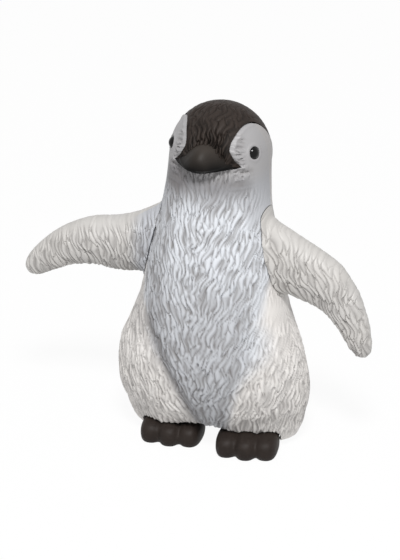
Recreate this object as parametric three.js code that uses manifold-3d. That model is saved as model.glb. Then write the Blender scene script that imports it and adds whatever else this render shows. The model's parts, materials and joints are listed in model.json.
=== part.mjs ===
// A small hard-plastic penguin chick with two turning wings, in millimetres.
// +Z is up, the penguin looks along -Y and its own left is +X. The soles stand on z = 0, and the
// origin is under the middle of the figure's outline box. The pieces are drawn round the upright line
// through the neck, and the group moves them there at the end.
import * as THREE from 'three';
import { mergeVertices } from 'three/addons/utils/BufferGeometryUtils.js';
import Module from 'manifold-3d';

const wasm = await Module();
wasm.setup();

// Clearances and walls
const GAP = 0.3;
const WALL = 1.8;
const CAP_THICKNESS = 1.3;

// Head: a ball that runs into the neck
const HEAD_RADIUS = 9.8;
const HEAD_HEIGHT = 58.6;
const HEAD_BACK_SET = 0.3;

// Trunk below the head: at each share of the way up to the middle of the head, half the width, the reach
// to the front and to the back of the widest line, and where that line lies from front to back
const TRUNK = [
  { rise: 0.0853, side: 17.1, front: 9.8, back: 12.8, middle: -1.8 },
  { rise: 0.1297, side: 18.5, front: 11.2, back: 14.6, middle: -2.7 },
  { rise: 0.1843, side: 19.1, front: 12.0, back: 15.6, middle: -3.5 },
  { rise: 0.2560, side: 18.9, front: 12.3, back: 16.0, middle: -4.5 },
  { rise: 0.3413, side: 18.1, front: 12.3, back: 16.0, middle: -5.3 },
  { rise: 0.4266, side: 16.1, front: 12.6, back: 15.4, middle: -4.8 },
  { rise: 0.5119, side: 14.4, front: 12.5, back: 14.7, middle: -4.2 },
  { rise: 0.5973, side: 13.3, front: 12.1, back: 13.8, middle: -3.6 },
  { rise: 0.6826, side: 12.5, front: 11.5, back: 13.0, middle: -3.2 },
  { rise: 0.7594, side: 11.5, front: 10.8, back: 12.0, middle: -2.7 },
  { rise: 0.8362, side: 10.6, front: 10.0, back: 11.0, middle: -1.9 },
  { rise: 0.9130, side: 10.1, front: 9.8, back: 10.3, middle: -0.7 },
];
const UNDERSIDE_HEIGHT = 4.2;
const UNDERSIDE_SIDE = 14.5;
const UNDERSIDE_FRONT = 6.5;
const UNDERSIDE_BACK = 9.0;

// Creases between belly and thighs, as turns from straight ahead, and the short tail
const CREASE_TOP_HEIGHT = 31;
const CREASE_TOP_TURN = 46;
const CREASE_FADE_HEIGHT = 18.5;
const CREASE_LOW_HEIGHT = 5;
const CREASE_LOW_TURN = 17;
const CREASE_SHIFT = 13;
const CREASE_WIDTH = 13;
const CREASE_DEPTH = 0.07;
const THIGH_SAG = 3.1;
const THIGH_SAG_START = 3;
const THIGH_SAG_FULL = 10;
const TAIL_HEIGHT = 7;
const TAIL_REACH = 4.2;
const TAIL_SPREAD = 4.5;
const TAIL_TURN = 17;

// Join between the front and the back half, seen from the side as depth and height: it follows the widest
// line of the thighs, passes through the wing pins and runs up behind the cheeks
const JOIN = [
  [-2.2, -8.0],
  [-3.2, 6.0],
  [-4.6, 14.0],
  [-5.0, 22.0],
  [-4.2, 30.0],
  [-3.6, 36.0],
  [-3.3, 42.0],
  [-2.6, 46.5],
  [0.6, 51.0],
  [3.8, 55.5],
  [4.6, 60.0],
  [4.6, 74.0],
];

// Black cap: edge round the cheek as depth and height from the middle of the head
const CAP_EDGE = [
  [-14.0, 0.9],
  [-9.6, 0.6],
  [-7.5, 0.5],
  [-7.9, 1.7],
  [-8.0, 3.4],
  [-7.3, 4.8],
  [-6.3, 5.8],
  [-4.9, 6.7],
  [-3.4, 7.25],
  [-1.9, 7.35],
  [-0.4, 7.0],
  [0.9, 5.9],
  [2.1, 4.2],
  [3.2, 1.8],
  [4.1, -1.0],
  [5.0, -3.8],
  [6.4, -6.2],
  [8.8, -7.8],
  [14.0, -8.4],
];
const CAP_STUD_RADIUS = 1.2;
const CAP_STUD_LENGTH = 3.2;

// Beak: wide and low with pointed corners and a round hump that ends in a blunt tip, from its root inside
// the face; its sides slope, so its seat is drawn wider than a plain clearance
const BEAK_MOUTH_HEIGHT = 0.35;
const BEAK_ROOT_DEPTH = 6.3;
const BEAK_TIP_DEPTH = 12.1;
const BEAK_TIP_ASIDE = -0.8;
const BEAK_HALF_WIDTH = 6.55;
const BEAK_ARCH = 4.4;
const BEAK_JAW = 0.9;
// way out from root to tip, and the width and the height there as shares of the whole
const BEAK_SLICES = [
  [0, 0, 0],
  [0.02, 1, 0.97],
  [0.2, 0.95, 0.98],
  [0.42, 0.8, 0.95],
  [0.62, 0.62, 0.85],
  [0.8, 0.45, 0.68],
  [0.94, 0.26, 0.42],
  [1, 0, 0],
];
const BEAK_SEAT_GAP = 0.45;

// Eyes: round beads on short stems
const EYE_TURN = 61.5;
const EYE_RISE = 14.5;
const EYE_RADIUS = 1.28;
const EYE_BULGE = 0.5;
const EYE_STEM_RADIUS = 0.8;
const EYE_STEM_LENGTH = 2.2;

// Wing seats, shallow round bowls in the sides of the body, and the pins that the wings turn on
const SEAT_HEIGHT = 39.4;
const SEAT_INSET = 1.0;
const SEAT_TILT = 14.2;
const SEAT_RADIUS = 10.35;
const SEAT_BOWL_RADIUS = 90;
const SEAT_RIM_ROUND = 2;
const SEAT_REACH = 14;
const BEARING_LENGTH = 3.2;
const BEARING_RADIUS = 5;
const PIN_RADIUS = 2;
const PIN_FLANGE_RADIUS = 3.6;
const PIN_FLANGE_THICKNESS = 1.4;
const PIN_SHOULDER = 1.4;
const PIN_STEM_RADIUS = 1.4;
const PIN_STEM_LENGTH = 5.6;

// Wings: from the seat outwards, how far out, up and ahead the middle of the wing lies, how far its slice
// leans out from upright in degrees, and its width and thickness there
const WING_LEFT = [
  { out: -2.4, up: 0.5, ahead: -0.5, lean: -12, width: 19.4, thick: 9.8 },
  { out: 1.4, up: -0.3, ahead: -0.9, lean: -4, width: 14.4, thick: 9.4 },
  { out: 4.8, up: -1.9, ahead: -1.5, lean: 8, width: 11.9, thick: 8.8 },
  { out: 7.8, up: -3.6, ahead: -2.0, lean: 21, width: 10.9, thick: 8.2 },
  { out: 10.6, up: -5.2, ahead: -2.2, lean: 29, width: 10.1, thick: 7.6 },
  { out: 13.3, up: -7.6, ahead: -2.0, lean: 40, width: 8.4, thick: 6.8 },
  { out: 15.3, up: -10.7, ahead: -1.8, lean: 53, width: 7.0, thick: 6.0 },
  { out: 16.9, up: -14.0, ahead: -1.6, lean: 63, width: 5.8, thick: 5.0 },
  { out: 17.9, up: -16.9, ahead: -1.5, lean: 67, width: 4.5, thick: 3.9 },
  { out: 18.5, up: -18.5, ahead: -1.4, lean: 69, width: 3.0, thick: 2.6 },
];
const WING_LEFT_TIP = { out: 18.7, up: -19.4, ahead: -1.4, lean: 70 };
const WING_RIGHT = [
  { out: -2.4, up: 0.4, ahead: -0.5, lean: -12, width: 19.4, thick: 9.8 },
  { out: 0.9, up: 0.1, ahead: -0.8, lean: -5, width: 15.0, thick: 9.6 },
  { out: 3.4, up: -0.7, ahead: -1.3, lean: -1, width: 12.8, thick: 9.0 },
  { out: 6.5, up: -1.8, ahead: -1.9, lean: 0, width: 11.8, thick: 8.4 },
  { out: 9.8, up: -2.4, ahead: -2.0, lean: 2, width: 11.0, thick: 7.8 },
  { out: 13.1, up: -2.4, ahead: -1.8, lean: 6, width: 10.1, thick: 7.2 },
  { out: 16.7, up: -3.3, ahead: -1.6, lean: 16, width: 8.9, thick: 6.6 },
  { out: 20.1, up: -4.8, ahead: -1.5, lean: 26, width: 7.6, thick: 5.8 },
  { out: 23.4, up: -7.1, ahead: -1.4, lean: 34, width: 6.3, thick: 4.8 },
  { out: 25.8, up: -9.1, ahead: -1.3, lean: 41, width: 4.9, thick: 3.8 },
  { out: 27.1, up: -10.4, ahead: -1.2, lean: 44, width: 3.1, thick: 2.5 },
];
const WING_RIGHT_TIP = { out: 27.7, up: -11.0, ahead: -1.2, lean: 45 };

// Feet: three stubby toes, an instep and an ankle that plugs into the body
const TOE_PITCH = 3.85;
const TOE_HALF_WIDTH = 2.45;
const TOE_HALF_LENGTH = 4.6;
const TOE_THICKNESS = 4.4;
const TOE_TUCK = 0.6;
const INSTEP_HALF_WIDTH = 5.7;
const INSTEP_HALF_LENGTH = 8.2;
const INSTEP_THICKNESS = 5.0;
const INSTEP_REAR = 4.5;
const SOLE_CUT = 1.0;
const ANKLE_RADIUS = 2.2;
const ANKLE_HEIGHT = 9.5;
const SOCKET_WALL = 1.3;
const FEET = {
  left: { x: 8.1, toeDepth: -14.8, turn: 9 },
  right: { x: -7.1, toeDepth: -13.8, turn: 4 },
};

// Posts that locate the two halves on each other
const POST_HEIGHTS = [15, HEAD_HEIGHT - 11.6];
const POST_RADIUS = 2.4;
const POST_PEG_RADIUS = 1.2;
const POST_PEG_LENGTH = 4;

// Mesh fineness
const TRUNK_SEGMENTS = 36;
const TRUNK_RINGS = 32;
const ROUND_SEGMENTS = 16;
const SEAT_SEGMENTS = 36;
const BOWL_RINGS = 5;
const RIM_RINGS = 4;

// Reach of the plain cutting shapes, past every side of the object
const FAR = 60;

const UP = new THREE.Vector3(0, 0, 1);
const SIDES = { left: 1, right: -1 };
const radians = THREE.MathUtils.degToRad;

// Solids
function toSolid(geometry) {
  const bare = geometry.clone();
  bare.deleteAttribute('normal');
  bare.deleteAttribute('uv');
  const merged = mergeVertices(bare, 1e-4);
  return new wasm.Manifold(new wasm.Mesh({
    numProp: 3,
    vertProperties: new Float32Array(merged.attributes.position.array),
    triVerts: new Uint32Array(merged.index.array),
  }));
}

function toGeometry(solid) {
  const mesh = solid.getMesh();
  const geometry = new THREE.BufferGeometry();
  geometry.setAttribute('position', new THREE.BufferAttribute(new Float32Array(mesh.vertProperties), 3));
  geometry.setIndex(new THREE.BufferAttribute(new Uint32Array(mesh.triVerts), 1));
  geometry.computeVertexNormals();
  return geometry;
}

// A ball of rings from its lower to its upper pole, each point of it put in place by a function of
// the direction round the ball and of the share of the way up
function shapedBall(segments, rings, place) {
  const ball = new THREE.SphereGeometry(1, segments, rings);
  const { position, uv } = ball.attributes;
  const point = new THREE.Vector3();
  for (let i = 0; i < position.count; i += 1) {
    const turn = 2 * Math.PI * uv.getX(i);
    const share = uv.getY(i);
    const atPole = share === 0 || share === 1;
    place(atPole ? 0 : -Math.cos(turn), atPole ? 0 : -Math.sin(turn), share, point);
    position.setXYZ(i, point.x, point.y, point.z);
  }
  return ball;
}

function ellipsoid(centre, radii, segments = 18, rings = 12) {
  const ball = new THREE.SphereGeometry(1, segments, rings);
  ball.rotateX(Math.PI / 2);
  ball.scale(radii.x, radii.y, radii.z);
  ball.translate(centre.x, centre.y, centre.z);
  return toSolid(ball);
}

// A rod between two distances along a line from a start point
function rod(start, direction, from, to, radius, segments = ROUND_SEGMENTS) {
  const cylinder = new THREE.CylinderGeometry(radius, radius, to - from, segments);
  cylinder.translate(0, (from + to) / 2, 0);
  const turn = new THREE.Quaternion().setFromUnitVectors(new THREE.Vector3(0, 1, 0), direction);
  cylinder.applyQuaternion(turn);
  cylinder.translate(start.x, start.y, start.z);
  return toSolid(cylinder);
}

// A slab across the whole width whose outline is drawn in depth and height
function sideSlab(outline) {
  const shape = new THREE.Shape(outline.map(([depth, height]) => new THREE.Vector2(depth, height)));
  const slab = new THREE.ExtrudeGeometry(shape, { depth: 2 * FAR, bevelEnabled: false });
  slab.translate(0, 0, -FAR);
  slab.applyMatrix4(new THREE.Matrix4().makeBasis(
    new THREE.Vector3(0, 1, 0),
    new THREE.Vector3(0, 0, 1),
    new THREE.Vector3(1, 0, 0),
  ));
  return toSolid(slab);
}

// A smooth line through points, moved sideways by an offset to its left
function smoothLine(points, divisions, offset) {
  const curve = new THREE.SplineCurve(points.map(([a, b]) => new THREE.Vector2(a, b)));
  const line = [];
  for (let i = 0; i <= divisions; i += 1) {
    const share = i / divisions;
    const point = curve.getPoint(share);
    const along = curve.getTangent(share);
    line.push([point.x - along.y * offset, point.y + along.x * offset]);
  }
  return line;
}

// Moves every point of a closed surface inwards by a depth that may change with the height
function inset(geometry, depthAt) {
  const bare = geometry.clone();
  bare.deleteAttribute('normal');
  bare.deleteAttribute('uv');
  const merged = mergeVertices(bare, 1e-4);
  merged.computeVertexNormals();
  const { position, normal } = merged.attributes;
  for (let i = 0; i < position.count; i += 1) {
    const depth = depthAt(position.getZ(i));
    position.setXYZ(
      i,
      position.getX(i) - normal.getX(i) * depth,
      position.getY(i) - normal.getY(i) * depth,
      position.getZ(i) - normal.getZ(i) * depth,
    );
  }
  return toSolid(merged);
}

// Trunk: rings from the underside through the thighs, chest and neck over the head
const headCentre = new THREE.Vector3(0, HEAD_BACK_SET, HEAD_HEIGHT);
const headRings = [4, 20, 38, 58, 76].map((rise) => {
  const ringRadius = HEAD_RADIUS * Math.cos(radians(rise));
  return {
    height: HEAD_HEIGHT + HEAD_RADIUS * Math.sin(radians(rise)),
    side: ringRadius,
    front: ringRadius,
    back: ringRadius,
    middle: HEAD_BACK_SET,
  };
});
const trunkRings = [
  { height: UNDERSIDE_HEIGHT, side: 0, front: 0, back: 0, middle: TRUNK[0].middle },
  {
    height: UNDERSIDE_HEIGHT,
    side: UNDERSIDE_SIDE,
    front: UNDERSIDE_FRONT,
    back: UNDERSIDE_BACK,
    middle: TRUNK[0].middle,
  },
  ...TRUNK.map((ring) => ({ ...ring, height: ring.rise * HEAD_HEIGHT })),
  ...headRings,
  { height: HEAD_HEIGHT + HEAD_RADIUS, side: 0, front: 0, back: 0, middle: HEAD_BACK_SET },
];
const reachCurve = new THREE.CatmullRomCurve3(
  trunkRings.map((ring) => new THREE.Vector3(ring.side, ring.front, ring.back)),
  false,
  'catmullrom',
);
const lineCurve = new THREE.CatmullRomCurve3(
  trunkRings.map((ring) => new THREE.Vector3(0, ring.middle, ring.height)),
  false,
  'catmullrom',
);

function bell(value, middle, spread) {
  return Math.exp(-(((value - middle) / spread) ** 2));
}

function swell(ex, ey, height) {
  const turn = THREE.MathUtils.radToDeg(Math.atan2(ex, -ey));
  const rise = THREE.MathUtils.clamp(
    (height - CREASE_LOW_HEIGHT) / (CREASE_TOP_HEIGHT - CREASE_LOW_HEIGHT),
    0,
    1,
  );
  const halfTurn = THREE.MathUtils.lerp(CREASE_LOW_TURN, CREASE_TOP_TURN, rise ** 1.4);
  const shift = CREASE_SHIFT * (1 - rise);
  const fade = THREE.MathUtils.smoothstep(height, CREASE_FADE_HEIGHT, CREASE_TOP_HEIGHT);
  const depth = CREASE_DEPTH * (1 - fade);
  const creases = bell(turn, shift - halfTurn, CREASE_WIDTH) + bell(turn, shift + halfTurn, CREASE_WIDTH);
  const tail = bell(180 - Math.abs(turn), 0, TAIL_TURN) * bell(height, TAIL_HEIGHT, TAIL_SPREAD);
  return { share: 1 - depth * creases, reach: TAIL_REACH * tail };
}

function trunkPoint(ex, ey, share, point) {
  const reach = reachCurve.getPoint(share);
  const line = lineCurve.getPoint(share);
  const { share: grow, reach: tail } = swell(ex, ey, line.z);
  const depth = Math.max(ey < 0 ? reach.y : reach.z, 0);
  const across = Math.max(reach.x, 0) * ex * grow;
  const low = 1 - THREE.MathUtils.smoothstep(line.z, UNDERSIDE_HEIGHT, TAIL_HEIGHT);
  const sideways = THREE.MathUtils.smoothstep(Math.abs(across), THIGH_SAG_START, THIGH_SAG_FULL);
  const sag = THIGH_SAG * low * sideways;
  point.set(
    across,
    line.y + (depth * grow + tail) * ey,
    Math.max(line.z, UNDERSIDE_HEIGHT) - sag,
  );
}

// Half the width of the trunk at a height
function sideAt(height) {
  let low = 1.5 / (trunkRings.length - 1);
  let high = 1;
  for (let i = 0; i < 40; i += 1) {
    const middle = (low + high) / 2;
    if (lineCurve.getPoint(middle).z < height) {
      low = middle;
    } else {
      high = middle;
    }
  }
  return reachCurve.getPoint(low).x;
}

const trunkSkin = shapedBall(TRUNK_SEGMENTS, TRUNK_RINGS, trunkPoint);
const trunk = toSolid(trunkSkin);
const grownTrunk = inset(trunkSkin, () => -GAP);
const capSeatDepth = CAP_THICKNESS + GAP;
const neckTop = HEAD_HEIGHT - HEAD_RADIUS;
const cavity = inset(
  shapedBall(18, 18, trunkPoint),
  (height) => WALL + capSeatDepth * THREE.MathUtils.smoothstep(height, neckTop - 4, neckTop + 2),
);
const underCap = inset(trunkSkin, () => CAP_THICKNESS);
const capSeat = inset(trunkSkin, () => capSeatDepth);

// Cap region, drawn from the side and closed over the top of the head
function capRegion(grow) {
  const edge = CAP_EDGE.map(([depth, height]) => [depth + HEAD_BACK_SET, height + HEAD_HEIGHT]);
  const line = smoothLine(edge, 60, -grow);
  return sideSlab([...line, [FAR, HEAD_HEIGHT + FAR], [-FAR, HEAD_HEIGHT + FAR], [-FAR, line[0][1]]]);
}

// Beak, slice by slice from root to tip, grown all round by a clearance where it is used as a cutter
function beakSolid(grow) {
  const widths = new THREE.SplineCurve(BEAK_SLICES.map(([out, width]) => new THREE.Vector2(out, width)));
  const heights = new THREE.SplineCurve(BEAK_SLICES.map(([out, , height]) => new THREE.Vector2(out, height)));
  const ball = shapedBall(24, 10, (ex, ey, share, point) => {
    const station = widths.getPoint(share);
    const width = Math.max(station.y, 0);
    const height = Math.max(heights.getPoint(share).y, 0);
    const ahead = THREE.MathUtils.clamp(station.x, 0, 1);
    const angle = Math.atan2(ey, ex);
    const across = Math.cos(angle);
    const hump = ey > 0 ? THREE.MathUtils.lerp(2.4, 0.8, ahead) : 0.55;
    const rise = Math.sin(angle) * Math.abs(Math.sin(angle)) ** hump;
    const margin = width > 0 ? grow : 0;
    const wide = (BEAK_HALF_WIDTH * width + margin) * across + BEAK_TIP_ASIDE * ahead;
    const high = ((rise > 0 ? BEAK_ARCH : BEAK_JAW) * height + margin) * rise;
    const out = THREE.MathUtils.lerp(BEAK_ROOT_DEPTH - grow, BEAK_TIP_DEPTH + grow, ahead);
    point.set(wide, -out, HEAD_HEIGHT + BEAK_MOUTH_HEIGHT + high);
  });
  return toSolid(ball);
}

// Eye bead with its stem, on the line from the middle of the head through the eye
function eyeFrame(side) {
  const turn = radians(EYE_TURN);
  const rise = radians(EYE_RISE);
  return new THREE.Vector3(
    SIDES[side] * Math.sin(turn) * Math.cos(rise),
    -Math.cos(turn) * Math.cos(rise),
    Math.sin(rise),
  );
}

function eyeSolid(side, grow) {
  const direction = eyeFrame(side);
  const depth = EYE_RADIUS - EYE_BULGE;
  const centre = headCentre.clone().addScaledVector(direction, HEAD_RADIUS - depth);
  const radius = EYE_RADIUS + grow;
  const bead = ellipsoid(centre, new THREE.Vector3(radius, radius, radius), 12, 8);
  const stemEnd = HEAD_RADIUS - depth - EYE_STEM_LENGTH - grow;
  const stem = rod(headCentre, direction, stemEnd, HEAD_RADIUS - depth, EYE_STEM_RADIUS + grow, 12);
  return bead.add(stem);
}

// Depth of the join between the halves at a height
function joinAt(height) {
  const line = smoothLine(JOIN, 200, 0);
  return line.reduce((best, point) => (
    Math.abs(point[1] - height) < Math.abs(best[1] - height) ? point : best
  ))[0];
}

// Wing seat: the middle of the flat and the direction that the wing's pin points in
function seat(side) {
  const tilt = radians(SEAT_TILT);
  const direction = new THREE.Vector3(SIDES[side] * Math.cos(tilt), 0, Math.sin(tilt));
  const middle = new THREE.Vector3(
    SIDES[side] * (sideAt(SEAT_HEIGHT) - SEAT_INSET),
    joinAt(SEAT_HEIGHT),
    SEAT_HEIGHT,
  );
  return { middle, direction };
}

// Wing blade, slice by slice along its middle line
function wingBlade(side, stations, tip) {
  const { middle } = seat(side);
  const first = stations[0];
  const all = [
    { ...first, out: first.out - 0.6, width: 0, thick: 0 },
    ...stations,
    { ...tip, width: 0, thick: 0 },
  ];
  const line = new THREE.CatmullRomCurve3(all.map((station) => new THREE.Vector3(
    middle.x + SIDES[side] * station.out,
    middle.y - station.ahead,
    middle.z + station.up,
  )), false, 'catmullrom');
  const sizes = new THREE.CatmullRomCurve3(all.map((station) => (
    new THREE.Vector3(station.width / 2, station.thick / 2, station.lean)
  )), false, 'catmullrom');
  const blade = shapedBall(20, 22, (ex, ey, share, point) => {
    const size = sizes.getPoint(share);
    const lean = radians(size.z);
    const wide = -SIDES[side] * Math.max(size.x, 0) * ex;
    point.copy(line.getPoint(share));
    point.x += SIDES[side] * wide * Math.sin(lean);
    point.z += wide * Math.cos(lean);
    point.y += Math.max(size.y, 0) * ey;
  });
  return toSolid(blade);
}

// Everything beyond the bowl of a wing seat, out to a radius and a reach, with its rim rounded
function beyondBowl(side, lift, radius, reach, rimRound) {
  const { middle, direction } = seat(side);
  const bowlRadius = radius - rimRound;
  const rimHeight = lift + bowlRadius ** 2 / (2 * SEAT_BOWL_RADIUS) + rimRound;
  const profile = [];
  for (let i = 0; i <= BOWL_RINGS; i += 1) {
    const out = bowlRadius * i / BOWL_RINGS;
    profile.push(new THREE.Vector2(out, lift + out ** 2 / (2 * SEAT_BOWL_RADIUS)));
  }
  for (let i = 1; rimRound > 0 && i <= RIM_RINGS; i += 1) {
    const angle = radians(90 * i / RIM_RINGS);
    profile.push(new THREE.Vector2(
      bowlRadius + rimRound * Math.sin(angle),
      rimHeight - rimRound * Math.cos(angle),
    ));
  }
  profile.push(new THREE.Vector2(radius, reach), new THREE.Vector2(0, reach));
  const lathe = new THREE.LatheGeometry(profile, SEAT_SEGMENTS);
  lathe.applyQuaternion(new THREE.Quaternion().setFromUnitVectors(new THREE.Vector3(0, 1, 0), direction));
  lathe.translate(middle.x, middle.y, middle.z);
  return toSolid(lathe);
}

function wingSolid(side, stations, tip) {
  const seatDisc = beyondBowl(side, GAP, SEAT_RADIUS, SEAT_REACH, SEAT_RIM_ROUND);
  const beyondSeat = beyondBowl(side, GAP, FAR, FAR, 0);
  const keptClear = grownTrunk.subtract(seatDisc);
  const blade = wingBlade(side, stations, tip).intersect(beyondSeat).subtract(keptClear);
  const root = trunk.intersect(seatDisc);
  return blade.add(root).subtract(pinSolid(side, GAP));
}

// Wing pin: flange inside the body, journal in the bearing, stem in the wing
function pinSolid(side, grow) {
  const { middle, direction } = seat(side);
  const flangeOuter = -BEARING_LENGTH - GAP + grow;
  const flange = rod(
    middle,
    direction,
    flangeOuter - PIN_FLANGE_THICKNESS - 2 * grow,
    flangeOuter,
    PIN_FLANGE_RADIUS + grow,
  );
  const journalEnd = flangeOuter - PIN_FLANGE_THICKNESS / 2;
  const journal = rod(middle, direction, journalEnd, PIN_SHOULDER + grow, PIN_RADIUS + grow);
  const stem = rod(middle, direction, 0, PIN_STEM_LENGTH + grow, PIN_STEM_RADIUS + grow);
  return flange.add(journal).add(stem);
}

// Foot: toes side by side, instep behind them and the ankle above
function footSolid(side, grow) {
  const { x, toeDepth, turn } = FEET[side];
  const solids = [];
  [-1, 0, 1].forEach((place) => {
    const tuck = place === 0 ? 0 : TOE_TUCK;
    const centre = new THREE.Vector3(
      x + place * TOE_PITCH,
      toeDepth + TOE_HALF_LENGTH + tuck,
      TOE_THICKNESS / 2 - SOLE_CUT / 2,
    );
    const radii = new THREE.Vector3(
      TOE_HALF_WIDTH + grow,
      TOE_HALF_LENGTH + grow,
      (TOE_THICKNESS + SOLE_CUT) / 2 + grow,
    );
    solids.push(ellipsoid(centre, radii, 12, 7));
  });
  const instepCentre = new THREE.Vector3(
    x,
    INSTEP_REAR - INSTEP_HALF_LENGTH,
    INSTEP_THICKNESS / 2 - SOLE_CUT / 2,
  );
  solids.push(ellipsoid(instepCentre, new THREE.Vector3(
    INSTEP_HALF_WIDTH + grow,
    INSTEP_HALF_LENGTH + grow,
    (INSTEP_THICKNESS + SOLE_CUT) / 2 + grow,
  ), 14, 8));
  const ankle = new THREE.Vector3(x, instepCentre.y, 0);
  solids.push(rod(ankle, UP, 0, ANKLE_HEIGHT + grow, ANKLE_RADIUS + grow));
  const whole = solids.reduce((sum, solid) => sum.add(solid));
  const turned = whole
    .translate([-ankle.x, -ankle.y, 0])
    .rotate([0, 0, turn])
    .translate([ankle.x, ankle.y, 0]);
  const aboveFloor = rod(ankle, UP, grow > 0 ? -FAR : 0, FAR, FAR, 8);
  return turned.intersect(aboveFloor);
}

// Front and back half: one shell with bearings, sockets and posts, cut along the join
function halfRegion(front) {
  const line = smoothLine(JOIN, 44, front ? GAP / 2 : -GAP / 2);
  const far = front ? -FAR : FAR;
  const top = line[line.length - 1][1];
  const outline = [...line, [far, top], [far, line[0][1]]];
  return sideSlab(front ? outline : outline.reverse());
}

const BACKWARDS = new THREE.Vector3(0, 1, 0);
const capOpening = capRegion(GAP).subtract(capSeat);
const cutters = [capOpening, beakSolid(BEAK_SEAT_GAP)];
const inner = [];
['left', 'right'].forEach((side) => {
  const { middle, direction } = seat(side);
  inner.push(rod(middle, direction, -BEARING_LENGTH, 0, BEARING_RADIUS, ROUND_SEGMENTS));
  inner.push(footSolid(side, GAP + SOCKET_WALL));
  cutters.push(beyondBowl(side, 0, SEAT_RADIUS + GAP, SEAT_REACH, SEAT_RIM_ROUND + GAP));
  cutters.push(rod(middle, direction, -BEARING_LENGTH - 1, 1, PIN_RADIUS + GAP));
  cutters.push(eyeSolid(side, GAP));
  cutters.push(footSolid(side, GAP));
});
const capStudTop = HEAD_HEIGHT + HEAD_RADIUS - CAP_THICKNESS / 2;
const capStudFoot = capStudTop - CAP_THICKNESS / 2 - CAP_STUD_LENGTH;
const capStudCentre = new THREE.Vector3(0, HEAD_BACK_SET, 0);
cutters.push(rod(capStudCentre, UP, capStudFoot - GAP, FAR + HEAD_HEIGHT, CAP_STUD_RADIUS + GAP));

const hollow = trunk.subtract(cavity);
const fittings = inner.reduce((sum, solid) => sum.add(solid)).intersect(trunk);
const plainShell = cutters.reduce((body, cutter) => body.subtract(cutter), hollow.add(fittings));

function post(height, from, to, radius) {
  return rod(new THREE.Vector3(0, joinAt(height), height), BACKWARDS, from, to, radius).intersect(trunk);
}

function bodyHalf(front) {
  let half = plainShell.intersect(halfRegion(front));
  POST_HEIGHTS.forEach((height) => {
    if (front) {
      half = half.add(post(height, -FAR, FAR, POST_RADIUS).intersect(halfRegion(true)));
      half = half.add(post(height, -POST_PEG_LENGTH, POST_PEG_LENGTH, POST_PEG_RADIUS));
    } else {
      half = half.add(post(height, -FAR, FAR, POST_RADIUS).intersect(halfRegion(false)));
      half = half.subtract(post(height, -POST_PEG_LENGTH, POST_PEG_LENGTH + GAP, POST_PEG_RADIUS + GAP));
    }
  });
  return half;
}

function crownCap() {
  const stud = rod(capStudCentre, UP, capStudFoot, capStudTop, CAP_STUD_RADIUS);
  return trunk.subtract(underCap).intersect(capRegion(0)).subtract(beakSolid(BEAK_SEAT_GAP)).add(stud);
}

// Finishes
const finish = {
  grey: { color: 0xc4c6ca, roughness: 0.5, metalness: 0 },
  white: { color: 0xcfcbc7, roughness: 0.5, metalness: 0 },
  black: { color: 0x3b3632, roughness: 0.5, metalness: 0 },
  beak: { color: 0x35312d, roughness: 0.35, metalness: 0 },
  eye: { color: 0x050505, roughness: 0.08, metalness: 0 },
  pin: { color: 0xd8d4cc, roughness: 0.4, metalness: 0 },
};

const group = new THREE.Group();

function addPiece(name, solid, look) {
  const mesh = new THREE.Mesh(toGeometry(solid), new THREE.MeshStandardMaterial(finish[look]));
  mesh.name = name;
  group.add(mesh);
}

addPiece('body_front', bodyHalf(true), 'grey');
addPiece('body_back', bodyHalf(false), 'white');
addPiece('crown_cap', crownCap(), 'black');
addPiece('beak', beakSolid(0), 'beak');
addPiece('wing_left', wingSolid('left', WING_LEFT, WING_LEFT_TIP), 'white');
addPiece('wing_right', wingSolid('right', WING_RIGHT, WING_RIGHT_TIP), 'white');
['left', 'right'].forEach((side) => {
  addPiece(`eye_${side}`, eyeSolid(side, 0), 'eye');
  addPiece(`wing_pin_${side}`, pinSolid(side, 0), 'pin');
  addPiece(`foot_${side}`, footSolid(side, 0), 'black');
});

// Origin: on the floor, under the middle of the outline box
const outlineMiddle = new THREE.Box3().setFromObject(group).getCenter(new THREE.Vector3());
group.position.set(-outlineMiddle.x, -outlineMiddle.y, 0);

export default group;
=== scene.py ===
import json
import math

import bmesh
import bpy
import numpy as np
from mathutils import Matrix, Vector


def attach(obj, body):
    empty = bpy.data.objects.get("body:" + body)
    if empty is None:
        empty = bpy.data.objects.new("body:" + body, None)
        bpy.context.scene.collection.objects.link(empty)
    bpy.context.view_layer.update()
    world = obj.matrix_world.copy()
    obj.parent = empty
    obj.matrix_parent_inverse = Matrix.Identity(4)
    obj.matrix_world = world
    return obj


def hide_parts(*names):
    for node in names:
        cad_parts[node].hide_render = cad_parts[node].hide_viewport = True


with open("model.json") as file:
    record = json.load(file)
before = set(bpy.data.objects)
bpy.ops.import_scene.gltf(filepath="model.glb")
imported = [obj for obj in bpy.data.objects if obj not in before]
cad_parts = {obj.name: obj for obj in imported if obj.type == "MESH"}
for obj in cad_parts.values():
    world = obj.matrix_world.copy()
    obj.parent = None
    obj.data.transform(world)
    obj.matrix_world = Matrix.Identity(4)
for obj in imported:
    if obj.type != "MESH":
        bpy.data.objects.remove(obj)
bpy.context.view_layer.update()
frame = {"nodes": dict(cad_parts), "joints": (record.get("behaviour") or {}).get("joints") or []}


# Camera: to the penguin's front left and a little above it, far enough back that the figure is seen almost
# without perspective.
CAMERA_TURN = math.radians(19)
CAMERA_RISE = math.radians(25)
CAMERA_REACH = 0.700
LOOKED_AT = Vector((0.00136, -0.00331, 0.03267))


def new_object(name, data):
    """An object that is in the scene."""
    made = bpy.data.objects.new(name, data)
    bpy.context.scene.collection.objects.link(made)
    return made


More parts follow.
